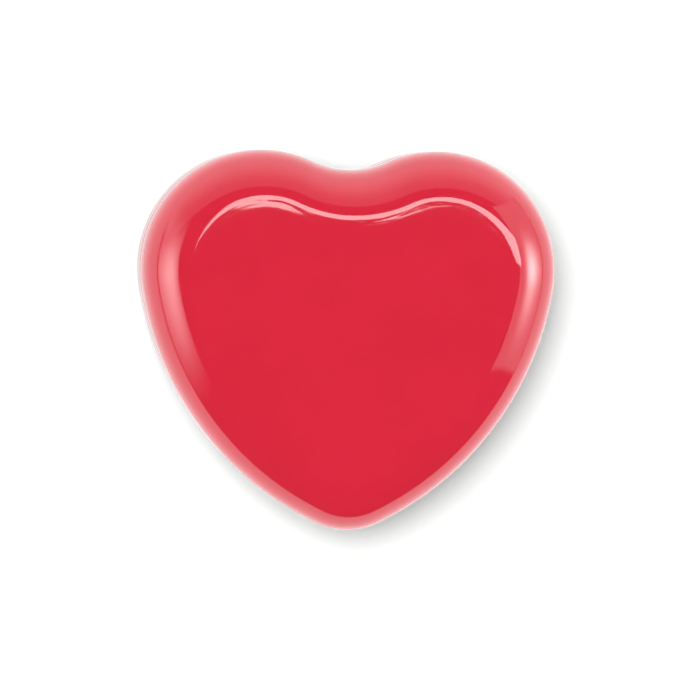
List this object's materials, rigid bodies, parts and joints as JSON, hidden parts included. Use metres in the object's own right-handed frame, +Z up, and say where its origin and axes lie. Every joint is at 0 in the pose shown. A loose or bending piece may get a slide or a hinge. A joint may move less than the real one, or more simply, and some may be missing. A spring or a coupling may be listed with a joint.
{
  "type": "candle tin",
  "caption": "Heart-shaped lacquered tin with a slip-on lid, holding a poured candle with a clipped wick.",
  "frame": {"origin": "centre of the closed tin's footprint, on the table", "axes": "+Z up, the heart's tip towards -Y and its cleft towards +Y, +X across the lobes"},
  "size_m": [0.066, 0.0604, 0.023],
  "materials": {
    "red_lacquered_tinplate": "gloss",
    "candle_wax": "satin",
    "waxed_cotton": "matte",
    "bare_tinplate": "satin",
    "adhesive_foam": "matte"
  },
  "bodies": {
    "tin": {"base": "red_lacquered_tinplate", "wax": "candle_wax", "wick": "waxed_cotton", "wick_clip": "bare_tinplate", "adhesive_pad": "adhesive_foam"},
    "lid": {"lid": "red_lacquered_tinplate"}
  },
  "joints": [
    {"name": "lid_lift", "type": "slide", "parent": "tin", "child": "lid", "axis": [0, 0, 1], "range_m": [0, 0.03]}
  ]
}
